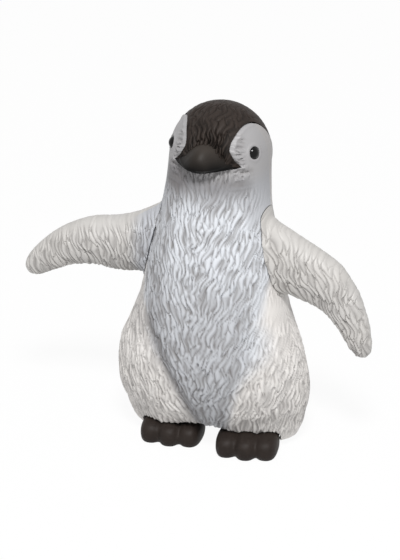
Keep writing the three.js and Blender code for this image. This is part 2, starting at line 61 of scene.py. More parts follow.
toward_camera = Vector((
    math.sin(CAMERA_TURN) * math.cos(CAMERA_RISE),
    -math.cos(CAMERA_TURN) * math.cos(CAMERA_RISE),
    math.sin(CAMERA_RISE),
))
camera_data = bpy.data.cameras.new("camera")
camera_data.sensor_fit = "HORIZONTAL"
camera_data.sensor_width = 36
camera_data.lens = 324.45
camera_data.clip_end = 10
camera = new_object("camera", camera_data)
camera.location = LOOKED_AT + CAMERA_REACH * toward_camera
camera.rotation_euler = toward_camera.to_track_quat("Z", "Y").to_euler()
bpy.context.scene.camera = camera


# Body skin: the outer form of trunk, neck and head with its feather locks, before it is split into a front
# half, a back half and a cap. It is drawn in millimetres round the upright line through the neck, as
# rings from the underside over the thighs, chest and neck to the top of the head.
HEAD_RADIUS = 9.8
HEAD = Vector((0, 0.3, 58.6))
UNDERSIDE = 4.2
THIGH_DROP = 3.1
TAIL_REACH = 4.2
# depth of the upright line round which turns are measured
TURN_AXIS = -2
BELLY_BASE = 5
BELLY_TOP = 31
# share of its reach that the skin loses in the creases beside the belly
CREASE_SHARE = 0.07
# half width, reach to the front, reach to the back, depth of the widest line, height
SKIN_RINGS = [
    (0, 0, 0, -1.8, UNDERSIDE),
    (14.5, 6.5, 9.0, -1.8, UNDERSIDE),
    (17.1, 9.8, 12.8, -1.8, 5.0),
    (18.5, 11.2, 14.6, -2.7, 7.6),
    (19.1, 12.0, 15.6, -3.5, 10.8),
    (18.9, 12.3, 16.0, -4.5, 15.0),
    (18.1, 12.3, 16.0, -5.3, 20.0),
    (16.1, 12.6, 15.4, -4.8, 25.0),
    (14.4, 12.5, 14.7, -4.2, 30.0),
    (13.3, 12.1, 13.8, -3.6, 35.0),
    (12.5, 11.5, 13.0, -3.2, 40.0),
    (11.5, 10.8, 12.0, -2.7, 44.5),
    (10.6, 10.0, 11.0, -1.9, 49.0),
    (10.1, 9.8, 10.3, -0.7, 53.5),
    *[
        (*[HEAD_RADIUS * math.cos(rise)] * 3, HEAD.y, HEAD.z + HEAD_RADIUS * math.sin(rise))
        for rise in map(math.radians, (4, 20, 38, 58, 76))
    ],
    (0, 0, 0, HEAD.y, HEAD.z + HEAD_RADIUS),
]
# depth and height from the middle of the head, from the face over the cheek to the nape
CAP_EDGE = [
    (-14.0, 0.9), (-9.6, 0.6), (-7.5, 0.5), (-7.9, 1.7), (-8.0, 3.4), (-7.3, 4.8), (-6.3, 5.8),
    (-4.9, 6.7), (-3.4, 7.25), (-1.9, 7.35), (-0.4, 7.0), (0.9, 5.9), (2.1, 4.2), (3.2, 1.8),
    (4.1, -1.0), (5.0, -3.8), (6.4, -6.2), (8.8, -7.8), (14.0, -8.4),
]
# depth and height of the join between the front half and the back half, from below upwards
JOIN_LINE = [
    (-2.2, -8.0), (-3.2, 6.0), (-4.6, 14.0), (-5.0, 22.0), (-4.2, 30.0), (-3.6, 36.0),
    (-3.3, 42.0), (-2.6, 46.5), (0.6, 51.0), (3.8, 55.5), (4.6, 60.0), (4.6, 74.0),
]
EYE_TURN = math.radians(61.5)
EYE_RISE = math.radians(14.5)
# depth of the join at the height of the wing pins
JOIN_AT_SEAT = -3.444
SEAT_RADIUS = 10.35
# width, length, lean and height of a feather lock of the body
LOCK_WIDTH = 1.25
LOCK_LENGTH = 2.5
LOCK_LEAN = 0.3
LOCK_RELIEF = 0.62
# share of a lock's height that is its slope; the grooves beside it make the rest
LOCK_SLOPE = 0.42
# height of a lock, from 0 to 1, that leaves the skin where it is
LOCK_LEVEL = 0.74
CREASE_DEPTH = 0.45
FACE_RIM = 0.16
# left and right are the penguin's own
SIDES = {"left": 1, "right": -1}

pins = {joint["child"].split("_")[0]: joint for joint in frame["joints"]}
pin_places = {side: Vector(pin["pos_m"]) * 1000 for side, pin in pins.items()}
pin_lines = {side: Vector(pin["axis"]).normalized() for side, pin in pins.items()}
neck = Vector((
    (pin_places["left"].x + pin_places["right"].x) / 2,
    pin_places["left"].y - JOIN_AT_SEAT,
    0,
))
seats = {side: place - neck for side, place in pin_places.items()}


def smooth_line(rows, share):
    """Points on an even smooth line through rows, at shares of the way from the first to the last."""
    rows = np.asarray(rows, float)
    rows = np.vstack([2 * rows[0] - rows[1], rows, 2 * rows[-1] - rows[-2]])
    place = np.clip(share, 0, 1) * (len(rows) - 3)
    first = np.minimum(place.astype(int), len(rows) - 4)
    t = (place - first)[:, None]
    a, b, c, d = rows[first], rows[first + 1], rows[first + 2], rows[first + 3]
    return b + 0.5 * t * (c - a + t * (2 * a - 5 * b + 4 * c - d + t * (3 * (b - c) + d - a)))


def step(value, low, high):
    """0 below low, 1 above high and a smooth ramp between them."""
    t = np.clip((value - low) / (high - low), 0, 1)
    return t * t * (3 - 2 * t)


def bell(value, middle, spread):
    """1 at the middle, fading to nothing on both sides."""
    return np.exp(-(((value - middle) / spread) ** 2))


def belly_edges(height):
    """The middle of the belly and half of its width at a height, both in degrees of turn."""
    rise = np.clip((height - BELLY_BASE) / (BELLY_TOP - BELLY_BASE), 0, 1)
    return 13 * (1 - rise), 17 + 29 * rise ** 1.4


def belly(turn, height):
    """How near a place is to the creases beside the belly, and by how many degrees it is inside them."""
    middle, half_turn = belly_edges(height)
    near = bell(turn, middle - half_turn, 13) + bell(turn, middle + half_turn, 13)
    return near * (1 - step(height, 18.5, BELLY_TOP)), half_turn - np.abs(turn - middle)


def skin_points(across, ahead, share):
    """Points of the skin, for directions round it and shares of the way up."""
    side, front, back, middle, height = smooth_line(SKIN_RINGS, share).T
    turn = np.degrees(np.arctan2(across, -ahead))
    creases, _ = belly(turn, height)
    tail = TAIL_REACH * bell(180 - np.abs(turn), 0, 17) * bell(height, 7, 4.5)
    x = np.maximum(side, 0) * across * (1 - CREASE_SHARE * creases)
    reach = np.maximum(np.where(ahead < 0, front, back), 0)
    y = middle + (reach * (1 - CREASE_SHARE * creases) + tail) * ahead
    sag = THIGH_DROP * (1 - step(height, UNDERSIDE, 7)) * step(np.abs(x), 3, 10)
    return np.stack([x, y, np.maximum(height, UNDERSIDE) - sag], 1)


def ring_ball(segments, rings, cuts, place):
    """A closed ball, each point put in place by a direction round it and a share of the way up."""
    ball = bmesh.new()
    bmesh.ops.create_uvsphere(ball, u_segments=segments, v_segments=rings, radius=1)
    if cuts:
        bmesh.ops.subdivide_edges(ball, edges=ball.edges, cuts=cuts, use_grid_fill=True)
    unit = np.array([vert.co.normalized() for vert in ball.verts])
    share = np.arccos(np.clip(-unit[:, 2], -1, 1)) / math.pi
    reach = np.hypot(unit[:, 0], unit[:, 1])
    pole = reach < 1e-4
    reach[pole] = 1
    across = np.where(pole, 0, unit[:, 0] / reach)
    ahead = np.where(pole, 0, unit[:, 1] / reach)
    for vert, point in zip(ball.verts, place(across, ahead, share)):
        vert.co = point
    bmesh.ops.recalc_face_normals(ball, faces=ball.faces)
    return ball


def points_of(made):
    return np.array([vert.co for vert in made.verts])


def push(made, heights):
    """Moves each point of a mesh along its normal by its own height."""
    made.normal_update()
    normals = [vert.normal.copy() for vert in made.verts]
    for vert, normal, height in zip(made.verts, normals, heights):
        vert.co += normal * height
    made.normal_update()


def chance(column, row, kind):
    """An even chance from 0 to 1, the same each time for one lock: the last digits of a large sine."""
    value = np.sin(column * 12.9898 + row * 78.233 + kind * 37.719) * 43758.5453
    return value - np.floor(value)


def feather_locks(across, down):
    """Overlapping locks in staggered rows: their height from 0 to 1, and 1 in the grooves beside them.

    across counts columns of locks and down counts rows. Both wander, and each lock has its own start,
    length, place, width and slant."""
    wander = 0.3 * np.sin(1.7 * down + 0.5 * across) + 0.17 * np.sin(3.9 * down - 0.9 * across + 1)
    down = down + 0.2 * np.sin(0.75 * across + 0.4 * down) + 0.12 * np.sin(1.85 * across - 0.7 * down)
    across = across + wander
    highest = np.full(len(across), -9.0)
    second = highest.copy()
    for back in (-1, 0, 1, 2):
        row = np.floor(down) - back
        stagger = 0.5 * (row % 2)
        for beside_it in (-1, 0, 1):
            column = np.floor(across - stagger + 0.5) + beside_it
            start, length, place, width, slant = (chance(column, row, kind) for kind in (1, 2, 3, 4, 5))
            along = (down - row - 0.9 * start) / (1.5 + 0.5 * length)
            off = across - column - stagger - 0.5 * (place - 0.5) + (slant - 0.5) * (along - 0.5)
            taper = np.sqrt(np.maximum(1 - np.clip(along, 0, 1) ** 3, 0.03))
            off /= np.maximum((0.6 + 0.2 * width) * taper, 0.1)
            height = 0.6 * along - 0.6 * off ** 2 + 0.3 * off
            height -= 14 * np.maximum(along - 0.95, 0) ** 2 + 3 * np.maximum(-along, 0)
            second = np.maximum(second, np.minimum(highest, height))
            highest = np.maximum(highest, height)
    sway = np.sin(2.1 * down + 1.3 * across + 1.5 * np.sin(0.9 * across - 0.5 * down))
    fade = np.clip(0.9 + 0.3 * sway * np.sin(1.4 * across - 1.1 * down + 2), 0.65, 1)
    groove = fade * (1 - np.clip((highest - second) / 0.6, 0, 1)) ** 1.4
    slope = np.clip((highest + 0.6) / 1.2, 0, 1)
    return LOCK_SLOPE * slope + (1 - LOCK_SLOPE) * (1 - groove), groove


def eye_direction(side):
    """From the middle of the head out through an eye."""
    return Vector((
        side * math.sin(EYE_TURN) * math.cos(EYE_RISE),
        -math.cos(EYE_TURN) * math.cos(EYE_RISE),
        math.sin(EYE_RISE),
    ))


def round_eye(points):
    """Distance from the line through the nearer eye."""
    away = points - np.array(HEAD)
    line = np.tile(eye_direction(1), (len(away), 1))
    line[:, 0] *= np.where(away[:, 0] < 0, -1, 1)
    across = away - line * np.sum(away * line, 1)[:, None]
    return np.linalg.norm(across, axis=1)


def from_cap_edge(points):
    """Distance from the edge of the cap, seen from the side."""
    line = smooth_line(CAP_EDGE, np.linspace(0, 1, 120)) + (HEAD.y, HEAD.z)
    return np.linalg.norm(points[:, None, 1:] - line[None], axis=2).min(1)


def from_pin(points, side):
    """Distances of points from the line of a wing pin and along it."""
    line = np.array(pin_lines[side])
    away = points - np.array(seats[side])
    along = away @ line
    return np.linalg.norm(away - along[:, None] * line, axis=1), along


def near_seat(points, side):
    """1 along the rim of a wing seat, where the relief fades so that wing and body lie flush."""
    out, along = from_pin(points, side)
    return bell(out, SEAT_RADIUS, 1.1) * step(along, -2.2, -0.6) * (1 - step(along, 2.5, 4))


def turn_of(points):
    """Turn of points round the body in degrees, 0 straight ahead and above 0 on the left."""
    return np.degrees(np.arctan2(points[:, 0], -(points[:, 1] - TURN_AXIS)))


def body_locks(points):
    """Feather locks of the body: they lean in towards the belly, and lie level before the eye on the cheek.

    Columns are counted from the middle of the belly, and behind the join from the spine."""
    x, y, z = points.T
    join = smooth_line(JOIN_LINE, np.linspace(0, 1, 160))
    behind = y > np.interp(z, join[:, 1], join[:, 0])
    turn = np.radians(turn_of(points)) - behind * np.where(x < 0, -math.pi, math.pi)
    round_body = turn * np.hypot(x, y - TURN_AXIS)
    on_left = step(x + 1.5 * np.sin(0.9 * z) + 0.8 * np.sin(2.3 * z + 1), -0.35, 0.35)
    down = (70 - z) / LOCK_LENGTH
    right = feather_locks((round_body + LOCK_LEAN * z) / LOCK_WIDTH, down)
    left = feather_locks((round_body - LOCK_LEAN * z) / LOCK_WIDTH + 50, down)
    locks = np.array(right) * (1 - on_left) + np.array(left) * on_left
    cheek = step(z, 53, 55.5) * step(np.abs(x), 4, 6)
    on_cheek = np.flatnonzero(cheek > 0)
    near = round_eye(points[on_cheek])
    fan = np.array(feather_locks((z[on_cheek] - 0.25 * near) / 0.95, (9 - near) / 3.2))
    locks[:, on_cheek] += cheek[on_cheek] * (fan - locks[:, on_cheek])
    return locks


def right_crease(points):
    """1 along the deep crease beside the belly on the right."""
    height = points[:, 2]
    middle, half_turn = belly_edges(height)
    near = bell(turn_of(points), middle - half_turn, 6)
    return near * (1 - step(height, 22, 32)) * step(height, 3, 7)


def lock_strength(points):
    """How strong the locks are: full on chest and thighs, soft on the throat, least behind the eyes."""
    x, y, z = points.T
    turn = turn_of(points)
    left_flank = step(turn, 45, 62) * (1 - step(turn, 85, 115)) * bell(z, 31, 6)
    neck_sides = step(np.abs(turn), 58, 80) * step(z, 45, 50) * (np.abs(turn) < 140)
    strength = (1 - 0.35 * step(z, 50, 55)) * (1 - 0.75 * left_flank) * (1 - 0.85 * neck_sides)
    strength *= step(z, 1.2, 4.5)
    head = np.flatnonzero(z > HEAD.z - 6)
    face = step(HEAD.y + HEAD_RADIUS * eye_direction(1).y - y[head], -0.4, 1.2)
    face *= step(round_eye(points[head]), 1.9, 3.4) * step(from_cap_edge(points[head]), 0.2, 0.55)
    strength[head] *= 1 - 0.92 * (1 - face) * step(z[head], 52.6, 55.6)
    strength[head] *= 1 + 1.1 * face * step(z[head], 55, 57)
    for side, sign in SIDES.items():
        strength *= 1 - 0.85 * near_seat(points, side) * (x * sign > 0)
    return strength


def body_relief(points):
    """Height of the relief in millimetres, with a low rim round each eye and a brow along the cap."""
    height, _ = body_locks(points)
    relief = LOCK_RELIEF * lock_strength(points) * (height - LOCK_LEVEL)
    relief -= CREASE_DEPTH * right_crease(points)
    head = np.flatnonzero(points[:, 2] > HEAD.z - 9)
    eye_rim = bell(round_eye(points[head]), 1.55, 0.3)
    brow = bell(from_cap_edge(points[head]), 0.45, 0.3) * (points[head, 1] < 4)
    relief[head] += FACE_RIM * (eye_rim + brow)
    return relief


def body_groove_shade(points):
    """How much painted shade lies in the grooves of the body, with some darker wash."""
    _, groove = body_locks(points)
    return groove * np.minimum(lock_strength(points), 1) * (1 - 0.4 * step(points[:, 2], 54.5, 57))


skin = ring_ball(56, 33, 8, skin_points)
push(skin, body_relief(points_of(skin)))


# Front half: face, breast and belly of the body shell, moulded in hard grey plastic. It holds the eyes, the
# beak and the feet, and has half of each bearing for the wing pins; two pegs locate it on the back half.
WALL = 1.8
SOCKET_WALL = 1.3
CAP_THICKNESS = 1.3
# the clearance of the frame's parts, kept where it is hidden, and the finer seams where it is seen
GAP = 0.3
SEAM = 0.12
BEAK_SEAM = 0.15
EYE_SEAM = 0.08
# further than any of the shapes reaches
FAR = 60
UP = Vector((0, 0, 1))
BACKWARDS = Vector((0, 1, 0))


class Wire:
    """A socket of a material, so that its maths can be written as an expression."""

    def __init__(self, tree, socket=None):
        self.tree = tree
        self.socket = socket

    def node(self, kind, settings=(), sockets=(), output=0):
        """Adds a node of a kind, its settings first and then the values or links of its sockets."""
        made = self.tree.nodes.new(kind)
        for name, value in dict(settings).items():
            setattr(made, name, value)
        for name, value in dict(sockets).items():
            if isinstance(value, Wire):
                self.tree.links.new(value.socket, made.inputs[name])
            else:
                made.inputs[name].default_value = value
        return Wire(self.tree, made.outputs[output])

    def maths(self, operation, *values):
        return self.node("ShaderNodeMath", {"operation": operation}, dict(enumerate(values)))

    def mix(self, first, second):
        """A colour between two, by this mask."""
        colours = {0: self, 6: first, 7: second}
        return self.node("ShaderNodeMix", {"data_type": "RGBA"}, colours, output=2)

    def kept(self):
        """This value held between 0 and 1."""
        return self.maths("MINIMUM", self.maths("MAXIMUM", self, 0.0), 1.0)

    def __add__(self, other):
        return self.maths("ADD", self, other)

    __radd__ = __add__

    def __sub__(self, other):
        return self.maths("SUBTRACT", self, other)

    def __rsub__(self, other):
        return self.maths("SUBTRACT", other, self)

    def __mul__(self, other):
        return self.maths("MULTIPLY", self, other)

    __rmul__ = __mul__


def colour(red, green, blue):
    """A colour as written for a screen, in the renderer's own scale."""
    return (*[(part / 255 / 12.92 if part < 10 else ((part / 255 + 0.055) / 1.055) ** 2.4)
              for part in (red, green, blue)], 1)


def new_material(name):
    """A material with its one shader, and a wire to build on."""
    material = bpy.data.materials.new(name)
    material.use_nodes = True
    tree = material.node_tree
    return material, tree.nodes["Principled BSDF"], Wire(tree)


def connect(wire, shader, name):
    wire.tree.links.new(wire.socket, shader.inputs[name])


def pattern(wire, name):
    """A pattern that a piece keeps on its points."""
    return wire.node("ShaderNodeAttribute", {"attribute_name": name}, output=2)


def grain(wire, scale, detail=2.0, roughness=0.5):
    """Fine unevenness of the paint and plastic, in a scale of waves to the metre."""
    place = wire.node("ShaderNodeTexCoord", output=3)
    sockets = {"Vector": place, "Scale": scale, "Detail": detail, "Roughness": roughness}
    return wire.node("ShaderNodeTexNoise", {}, sockets)


def feather_plastic(name, plain, bib_plain, dim_plain, shade):
    """Painted hard plastic with feather relief: paint lies thin on the locks, with painted shade and some
    darker wash in the grooves.
    """
    material, shader, wire = new_material(name)
    groove = pattern(wire, "groove")
    bib = pattern(wire, "bib")
    fine = grain(wire, 2400.0, 3.0, 0.6)
    worn = ((grain(wire, 90.0) - 0.5) * 0.3 + 0.08).kept()
    base = bib.mix(colour(*plain), colour(*bib_plain))
    base = worn.mix(base, colour(*(part - 14 for part in bib_plain)))
    # grey paint of the head, with painted shade under the beak, on the low belly, in the right crease, on
    # the right of the chest and down the neck sides
    base = pattern(wire, "dim").mix(base, colour(*dim_plain))
    # painted shade in the grooves, stronger on the bib, partly a darker wash
    connect((groove * (0.25 * bib + 0.68)).kept().mix(base, colour(*shade)), shader, "Base Color")
    connect(0.46 + 0.14 * groove + 0.1 * (fine - 0.5), shader, "Roughness")
    bump = wire.node("ShaderNodeBump", {}, {"Strength": 0.25, "Distance": 0.00004, "Height": fine})
    connect(bump, shader, "Normal")
    shader.inputs["Specular IOR Level"].default_value = 0.35
    return material


def mesh_of(name, made):
    """A mesh from a shape, which is used up."""
    mesh = bpy.data.meshes.new(name)
    made.to_mesh(mesh)
    made.free()
    return mesh


def cut(made, cutter, operation="DIFFERENCE"):
    """made with the other shape cut from it, joined to it, or kept of it alone. Both are used up."""
    pair = [new_object("shape", mesh_of("shape", shape)) for shape in (made, cutter)]
    boolean = pair[0].modifiers.new("cut", "BOOLEAN")
    boolean.object = pair[1]
    boolean.operation = operation
    boolean.solver = "MANIFOLD"
    result = bmesh.new()
    result.from_object(pair[0], bpy.context.evaluated_depsgraph_get())
    for shape in pair:
        bpy.data.meshes.remove(shape.data)
    return result


def rod(start, direction, low, high, radius, segments=72):
    """A rod between two distances along a line from a start point."""
    made = bmesh.new()
    turn = direction.to_track_quat("Z", "Y").to_matrix().to_4x4()
    bmesh.ops.create_cone(
        made, cap_ends=True, segments=segments, radius1=radius, radius2=radius, depth=high - low,
        matrix=Matrix.Translation(start + direction * (low + high) / 2) @ turn,
    )
    return made


def ball(centre, radii, segments=24, rings=14, block=1.0):
    """A ball with its own half width, half depth and half height, the blockier the lower block is."""
    made = bmesh.new()
    bmesh.ops.create_uvsphere(made, u_segments=segments, v_segments=rings, radius=1)
    for vert in made.verts:
        part = [math.copysign(abs(share) ** block, share) for share in vert.co]
        vert.co = centre + Vector([share * radius for share, radius in zip(part, radii)])
    return made


def side_slab(outline):
    """A slab across the whole width, with its outline drawn in depth and height."""
    made = bmesh.new()
    face = made.faces.new([made.verts.new((-FAR, depth, height)) for depth, height in outline])
    grown = bmesh.ops.extrude_face_region(made, geom=[face])["geom"]
    far_side = [part for part in grown if isinstance(part, bmesh.types.BMVert)]
    bmesh.ops.translate(made, vec=(2 * FAR, 0, 0), verts=far_side)
    bmesh.ops.recalc_face_normals(made, faces=made.faces)
    return made


def beside(line, offset):
    """A smooth line drawn in depth and height, moved to its left by an offset."""
    points = smooth_line(line, np.linspace(0, 1, 160))
    along = np.gradient(points, axis=0)
    along /= np.linalg.norm(along, axis=1)[:, None]
    return points + offset * np.stack([-along[:, 1], along[:, 0]], 1)


def cap_region(grow):
    """Everything above the edge of the cap, with the edge moved outwards by a clearance."""
    line = beside(CAP_EDGE, -grow) + (HEAD.y, HEAD.z)
    return side_slab([*line, (FAR, HEAD.z + FAR), (-FAR, HEAD.z + FAR)])


# depth and height of the two pegs
POST_PLACES = [(-4.66, 15), (-2.4, 47)]
POST_REACH = 4
POST_RADIUS = 1.2
POST_BOSS_RADIUS = 2.4


def half_region(front):
    """Everything in front of the join or behind it, less half of the seam, with the pegs or their holes."""
    line = beside(JOIN_LINE, SEAM / 2 if front else -SEAM / 2)
    far = -FAR if front else FAR
    region = side_slab([*line, (far, line[-1][1]), (far, line[0][1])])
    grow = 0 if front else GAP
    for depth, height in POST_PLACES:
        start = Vector((0, depth, height))
        post = rod(start, BACKWARDS, -POST_REACH, POST_REACH + grow, POST_RADIUS + grow)
        region = cut(region, post, "UNION" if front else "DIFFERENCE")
    return region


def inner_skin(depth):
    """The skin moved inwards by a depth, or by a depth that is worked out from the height."""
    made = ring_ball(72, 64, 0, skin_points)
    heights = points_of(made)[:, 2]
    push(made, -(depth(heights) if callable(depth) else np.full(len(heights), depth)))
    return made


def wall_depth(height):
    """Thickness of the body's wall, which lies deeper in the head to leave room for the cap."""
    in_head = step(height, HEAD.z - HEAD_RADIUS - 4, HEAD.z - 7.8)
    return WALL + (CAP_THICKNESS + GAP) * in_head


# way out from root to tip, and the width and the height there as shares of the whole
BEAK_SLICES = [
    (0, 0, 0), (0.02, 1, 0.97), (0.2, 0.95, 0.98), (0.42, 0.8, 0.95),
    (0.62, 0.62, 0.85), (0.8, 0.45, 0.68), (0.94, 0.26, 0.42), (1, 0, 0),
]
BEAK_ROOT = 6.3
BEAK_TIP = 12.1
BEAK_TIP_ASIDE = 0.8
BEAK_HALF_WIDTH = 6.55
BEAK_ARCH = 4.4
BEAK_JAW = 0.9
MOUTH = HEAD.z + 0.35


def beak_form(grow, cuts=0):
    """The beak, slice by slice from its root in the face to the blunt tip, grown by a clearance."""
    def place(across, ahead, share):
        out, width, tall = smooth_line(BEAK_SLICES, share).T
        out = np.clip(out, 0, 1)
        width = np.maximum(width, 0)
        margin = np.where(width > 0, grow, 0)
        rise = ahead * np.abs(ahead) ** np.where(ahead > 0, 2.4 - 1.6 * out, 0.55)
        high = (np.where(rise > 0, BEAK_ARCH, BEAK_JAW) * np.maximum(tall, 0) + margin) * rise
        depth = BEAK_ROOT - grow + (BEAK_TIP - BEAK_ROOT + 2 * grow) * out
        x = (BEAK_HALF_WIDTH * width + margin) * across - BEAK_TIP_ASIDE * out
        return np.stack([x, -depth, MOUTH + high], 1)

    return ring_ball(32, 24, cuts, place)


EYE_RADIUS = 1.28
# how far the middle of a bead lies under the skin of the head
EYE_DEPTH = 0.78
EYE_STEM_LENGTH = 2.2
EYE_STEM_RADIUS = 0.8
# how much larger all round a bead is than the eye of the frame
EYE_EXTRA = 0.1


def eye_form(side, grow, segments=24):
    """An eye bead on its short stem."""
    line = eye_direction(SIDES[side])
    middle = HEAD_RADIUS - EYE_DEPTH
    bead = ball(HEAD + line * middle, [EYE_RADIUS + grow] * 3, segments, segments // 2)
    stem = rod(HEAD, line, middle - EYE_STEM_LENGTH - grow, middle, EYE_STEM_RADIUS + grow, segments)
    return cut(bead, stem, "UNION")


# how far aside a foot stands, the depth where its toes begin and its turn in degrees
FOOT_PLACES = {"left": (8.1, -14.8, 9), "right": (-7.1, -13.8, 4)}
ANKLE_DEPTH = -3.7
ANKLE_HEIGHT = 9.5
ANKLE_RADIUS = 2.2
TOE_SPACING = 3.85
TOE_BLOCK = 0.76
# half width, half depth and half height
TOE = (2.3, 4.5, 2.6)
WEB = (5.5, 4.6, 2.2)
INSTEP = (5.7, 8.2, 3.0)


def foot_balls(side, grow, segments=24):
    """Toes, web, instep and ankle of a foot as closed shapes that overlap, turned about the ankle."""
    x, toe_depth, turn = FOOT_PLACES[side]

    def grown_ball(centre, radii, block=1.0):
        return ball(Vector(centre), [radius + grow for radius in radii], segments, segments // 2, block)

    shapes = [
        grown_ball((x + toe * TOE_SPACING, toe_depth + 4.6 + 0.6 * abs(toe), 1.7), TOE, TOE_BLOCK)
        for toe in (-1, 0, 1)
    ]
    shapes.append(grown_ball((x, toe_depth + 5.4, 1.7), WEB))
    shapes.append(grown_ball((x, ANKLE_DEPTH, 2.0), INSTEP))
    ankle = Vector((x, ANKLE_DEPTH, 0))
    shapes.append(rod(ankle, UP, 0, ANKLE_HEIGHT + grow, ANKLE_RADIUS + grow, segments))
    for shape in shapes:
        bmesh.ops.rotate(
            shape, verts=shape.verts, cent=ankle, matrix=Matrix.Rotation(math.radians(turn), 3, "Z"),
        )
    return shapes


def joined(shapes):
    """Shapes that overlap, as one."""
    whole = shapes[0]
    for shape in shapes[1:]:
        whole = cut(whole, shape, "UNION")
    return whole


BEARING_LENGTH = 3.2
BEARING_RADIUS = 5
PIN_RADIUS = 2
SEAT_BOWL = 90
SEAT_REACH = 14
SEAT_RIM = 2


def pin_hole(side, low, high, radius):
    """A rod between two distances along the line of a wing pin."""
    return rod(seats[side], pin_lines[side], low, high, radius)


def beyond_bowl(side, lift, radius, reach, rim_round=0):
    """Everything beyond the shallow bowl of a wing seat, out to a radius and a reach, its rim rounded."""
    made = bmesh.new()
    bowl = radius - rim_round
    rim = lift + bowl ** 2 / (2 * SEAT_BOWL) + rim_round
    line = [(out, lift + out ** 2 / (2 * SEAT_BOWL)) for out in np.linspace(0, bowl, 25)]
    for turn in np.linspace(0, math.pi / 2, 9)[1:] * (rim_round > 0):
        line.append((bowl + rim_round * math.sin(turn), rim - rim_round * math.cos(turn)))
    line += [(radius, reach), (0, reach)]
    points = [made.verts.new((out, 0, along)) for out, along in line]
    edges = [made.edges.new(pair) for pair in zip(points[:-1], points[1:])]
    bmesh.ops.spin(
        made, geom=points + edges, cent=(0, 0, 0), axis=UP, angle=math.tau, steps=120, use_merge=True,
    )
    bmesh.ops.remove_doubles(made, verts=made.verts, dist=1e-4)
    bmesh.ops.recalc_face_normals(made, faces=made.faces)
    turn = pin_lines[side].to_track_quat("Z", "Y").to_matrix().to_4x4()
    bmesh.ops.transform(made, matrix=Matrix.Translation(seats[side]) @ turn, verts=made.verts)
    return made


def finish_piece(name, made, material, **patterns):
    """An object from a shape in millimetres round the neck, put in place, with material and patterns."""
    bmesh.ops.translate(made, vec=neck, verts=made.verts)
    bmesh.ops.scale(made, vec=(0.001, 0.001, 0.001), verts=made.verts)
    mesh = mesh_of(name, made)
    for label, values in patterns.items():
        mesh.attributes.new(label, "FLOAT", "POINT").data.foreach_set("value", values.astype(np.float32))
    mesh.shade_smooth()
    mesh.set_sharp_from_angle(angle=math.radians(60))
    mesh.materials.append(material)
    return new_object(name, mesh)


def bib_share(points):
    """1 on the grey bib of throat, breast and belly, less on the cheeks, 0 on the thighs and the flanks."""
    z = points[:, 2]
    turn = turn_of(points)
    waist = bell(z, 24.5, 6)
    _, inside = belly(turn, z)
    inside = inside + 3 * np.maximum(z - 29, 0) + np.where(turn > 0, 15, 4) * waist
    soft = 7 * (turn > 0) * waist
    return step(inside, -5 - soft, 6 + soft) * (np.abs(turn) < 100) * (1 - 0.6 * step(z, 54, 58))


def dim_share(points):
    """1 where the beak's shadow is painted on the throat; less painted shade on the low belly, in its right
    crease and on the right of the chest; and the head's grey paint, carried lower down the sides of the
    neck as painted shade.
    """
    _, y, z = points.T
    turn = turn_of(points)
    _, inside = belly(turn, z)
    # painted shade: the beak's shadow on the throat, the right crease, the low belly and the right of the
    # chest; the head term is grey paint, lowered down the neck sides as painted shade
    throat = 0.84 * bell(z, 55.6, 3.6) * (1 - step(y, -8, 1))
    low = step(inside, -5, 6) * (0.45 - 0.13 * step(z, 10, 16) - 0.32 * step(z, 28, 42))
    right_chest = 0.3 * step(-turn, 16, 44) * step(z, 20, 28)
    head = 0.68 * step(z, 52 - 11 * step(np.abs(turn), 38, 60), 58)
    return np.maximum(throat + 0.5 * right_crease(points) + low + right_chest, head)


hollow = inner_skin(wall_depth)
for side in SIDES:
    hollow = cut(hollow, pin_hole(side, -BEARING_LENGTH, 2, BEARING_RADIUS))
    hollow = cut(hollow, joined(foot_balls(side, GAP + SOCKET_WALL)))
for depth, height in POST_PLACES:
    hollow = cut(hollow, rod(Vector((0, depth, height)), BACKWARDS, -FAR, FAR, POST_BOSS_RADIUS))
openings = cut(hollow, cut(cap_region(GAP), inner_skin(CAP_THICKNESS + GAP)), "UNION")
openings = cut(openings, beak_form(BEAK_SEAM), "UNION")
grow = (GAP + SEAM) / 2
for side in SIDES:
    seat = beyond_bowl(side, GAP - grow, SEAT_RADIUS + grow, SEAT_REACH, SEAT_RIM + grow)
    bearing = pin_hole(side, -BEARING_LENGTH - 1, 1, PIN_RADIUS + GAP)
    for opening in (seat, bearing, eye_form(side, EYE_EXTRA + EYE_SEAM), joined(foot_balls(side, GAP))):
        openings = cut(openings, opening, "UNION")
shell = cut(skin, openings)

grey_plastic = feather_plastic(
    "body_plastic", (221, 217, 213), (205, 208, 213), (112, 110, 112), (106, 102, 100),
)
front = cut(shell.copy(), half_region(True), "INTERSECT")
front_points = points_of(front)
front_half = finish_piece(
    "front_half", front, grey_plastic,
    groove=body_groove_shade(front_points), bib=bib_share(front_points), dim=dim_share(front_points),
)
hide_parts("body_front")
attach(front_half, "body")


# Back half: back, tail and nape of the body shell, moulded in the same hard plastic, paler than the bib,
# and glued to the front half along the line that runs down through the wing seats.
back = cut(shell, half_region(False), "INTERSECT")
back_points = points_of(back)
back_half = finish_piece(
    "back_half", back, grey_plastic,
    groove=body_groove_shade(back_points), bib=0 * back_points[:, 0], dim=dim_share(back_points),
)
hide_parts("body_back")
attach(back_half, "body")


# Crown cap: a thin black plastic cap over the top and back of the head, with short combed feathers above
# the beak. A stud under its middle goes into the body.
STUD_LENGTH = 3.2
STUD_RADIUS = 1.2
CAP_LOCK_LENGTH = 2.1
# columns of locks to a radian, over the head from side to side
CAP_COLUMNS = 7.5


